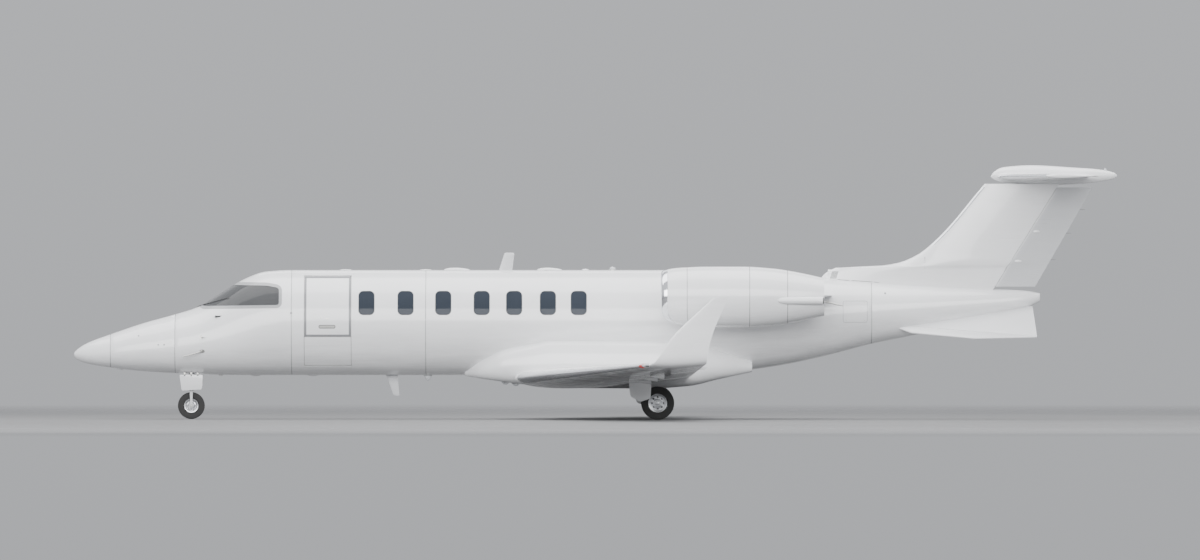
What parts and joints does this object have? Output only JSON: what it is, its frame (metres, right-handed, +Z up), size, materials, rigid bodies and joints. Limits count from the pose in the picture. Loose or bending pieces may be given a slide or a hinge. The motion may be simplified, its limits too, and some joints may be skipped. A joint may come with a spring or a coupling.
{
  "type": "twin-engined light business jet",
  "caption": "White light business jet on its landing gear, with T-tail, winglets, rear engines, clamshell door and a cabin with seats.",
  "frame": {"origin": "on the ground below the middle of the length, in the plane of symmetry", "axes": "+Z up, nose towards -X, right wing towards +Y"},
  "size_m": [17.68, 14.568, 4.3],
  "materials": {
    "white_paint": "gloss white aircraft paint",
    "window_glass": "dark tinted, polished",
    "bare_metal": "bare and heat-tinted engine metal",
    "blade_metal": "machined titanium grey",
    "wheel_metal": "satin alloy",
    "gear_paint": "semi-gloss light grey",
    "rubber": "matt black rubber",
    "seat_leather": "smooth tan leather and carpet",
    "dark_trim": "matt dark trim"
  },
  "bodies": {
    "airframe": {"radome": "white_paint", "nose_section": "white_paint", "cockpit_shell": "white_paint", "cabin_front": "white_paint", "cabin_rear": "white_paint", "aft_hull": "white_paint", "tail_cone": "white_paint", "windscreen_left": "window_glass", "windscreen_right": "window_glass", "cabin_windows_left": "window_glass", "cabin_windows_right": "window_glass", "cabin_floor": "seat_leather", "cockpit_floor": "seat_leather", "instrument_panel": "dark_trim", "wing_left": "white_paint", "wing_right": "white_paint", "belly_fairing": "white_paint", "fin": "white_paint", "tailplane": "white_paint", "tail_bullet": "white_paint", "delta_fin_left": "white_paint", "delta_fin_right": "white_paint", "nacelle_left": "white_paint", "nacelle_right": "white_paint", "engine_left": "bare_metal", "engine_right": "bare_metal", "pylon_left": "white_paint", "pylon_right": "white_paint", "main_leg_left": "gear_paint", "main_leg_right": "gear_paint", "main_door_left": "white_paint", "main_door_right": "white_paint", "nose_leg": "gear_paint", "nose_door_left": "white_paint", "nose_door_right": "white_paint", "aerial_upper": "white_paint", "aerial_lower": "white_paint"},
    "steering": {"nose_fork": "gear_paint"},
    "nose_wheel": {"nose_rim": "wheel_metal", "nose_tyre": "rubber"},
    "main_wheels_left": {"main_rims_left": "wheel_metal", "main_tyre_left_outer": "rubber", "main_tyre_left_inner": "rubber"},
    "main_wheels_right": {"main_rims_right": "wheel_metal", "main_tyre_right_outer": "rubber", "main_tyre_right_inner": "rubber"},
    "fan_rotor_left": {"fan_left": "blade_metal"},
    "fan_rotor_right": {"fan_right": "blade_metal"},
    "door_steps_leaf": {"door_steps": "white_paint"},
    "door_upper_leaf": {"door_upper": "white_paint"},
    "flap_leaf_left": {"flap_left": "white_paint"},
    "flap_leaf_right": {"flap_right": "white_paint"},
    "aileron_leaf_left": {"aileron_left": "white_paint"},
    "aileron_leaf_right": {"aileron_right": "white_paint"},
    "spoiler_leaf_left": {"spoiler_left": "white_paint"},
    "spoiler_leaf_right": {"spoiler_right": "white_paint"},
    "rudder_leaf": {"rudder": "white_paint"},
    "elevators": {"elevator_left": "white_paint", "elevator_right": "white_paint"}
  },
  "joints": [
    {"name": "steer", "type": "hinge", "parent": "airframe", "child": "steering", "pos_m": [-6.85, 0, 0.62], "axis": [0, 0, 1], "range_deg": [-60, 60]},
    {"name": "nose_roll", "type": "hinge", "parent": "steering", "child": "nose_wheel", "pos_m": [-6.85, 0, 0.2285], "axis": [0, 1, 0], "continuous": true},
    {"name": "main_roll_left", "type": "hinge", "parent": "airframe", "child": "main_wheels_left", "pos_m": [1.05, -1.425, 0.2795], "axis": [0, 1, 0], "continuous": true},
    {"name": "main_roll_right", "type": "hinge", "parent": "airframe", "child": "main_wheels_right", "pos_m": [1.05, 1.425, 0.2795], "axis": [0, 1, 0], "continuous": true},
    {"name": "fan_spin_left", "type": "hinge", "parent": "airframe", "child": "fan_rotor_left", "pos_m": [1.78, -1.45, 2.07], "axis": [1, 0, 0], "continuous": true},
    {"name": "fan_spin_right", "type": "hinge", "parent": "airframe", "child": "fan_rotor_right", "pos_m": [1.78, 1.45, 2.07], "axis": [1, 0, 0], "continuous": true},
    {"name": "steps_swing", "type": "hinge", "parent": "airframe", "child": "door_steps_leaf", "pos_m": [-4.53, -0.49409, 0.9088], "axis": [1, 0, 0], "range_deg": [0, 120]},
    {"name": "door_swing", "type": "hinge", "parent": "airframe", "child": "door_upper_leaf", "pos_m": [-4.53, -0.38926, 2.4282], "axis": [-1, 0, 0], "range_deg": [0, 85]},
    {"name": "flap_left_swing", "type": "hinge", "parent": "airframe", "child": "flap_leaf_left", "pos_m": [1.12317, -3.04, 0.78467], "axis": [-0.1212, 0.9918, -0.0407], "range_deg": [0, 40]},
    {"name": "flap_right_swing", "type": "hinge", "parent": "airframe", "child": "flap_leaf_right", "pos_m": [1.12317, 3.04, 0.78467], "axis": [0.1212, 0.9918, 0.0407], "range_deg": [0, 40]},
    {"name": "aileron_left_swing", "type": "hinge", "parent": "airframe", "child": "aileron_leaf_left", "pos_m": [1.41423, -5.42, 0.88276], "axis": [-0.1214, 0.9918, -0.041], "range_deg": [-20, 20]},
    {"name": "aileron_right_swing", "type": "hinge", "parent": "airframe", "child": "aileron_leaf_right", "pos_m": [1.41423, 5.42, 0.88276], "axis": [0.1214, 0.9918, 0.041], "range_deg": [-20, 20]},
    {"name": "spoiler_left_swing", "type": "hinge", "parent": "airframe", "child": "spoiler_leaf_left", "pos_m": [0.8125, -3.1, 0.87857], "axis": [0.1685, -0.9854, 0.0242], "range_deg": [0, 50]},
    {"name": "spoiler_right_swing", "type": "hinge", "parent": "airframe", "child": "spoiler_leaf_right", "pos_m": [0.8125, 3.1, 0.87857], "axis": [-0.1685, -0.9854, -0.0242], "range_deg": [0, 50]},
    {"name": "rudder_swing", "type": "hinge", "parent": "airframe", "child": "rudder_leaf", "pos_m": [7.26835, 0, 3], "axis": [0.5293, 0, 0.8484], "range_deg": [-25, 25]},
    {"name": "elevator_swing", "type": "hinge", "parent": "airframe", "child": "elevators", "pos_m": [7.96, 0, 4.105], "axis": [0, 1, 0], "range_deg": [-20, 15]}
  ],
  "couplings": [
    {"joint": "flap_right_swing", "follows": "flap_left_swing", "ratio": 1},
    {"joint": "aileron_right_swing", "follows": "aileron_left_swing", "ratio": -1},
    {"joint": "spoiler_right_swing", "follows": "spoiler_left_swing", "ratio": 1}
  ]
}
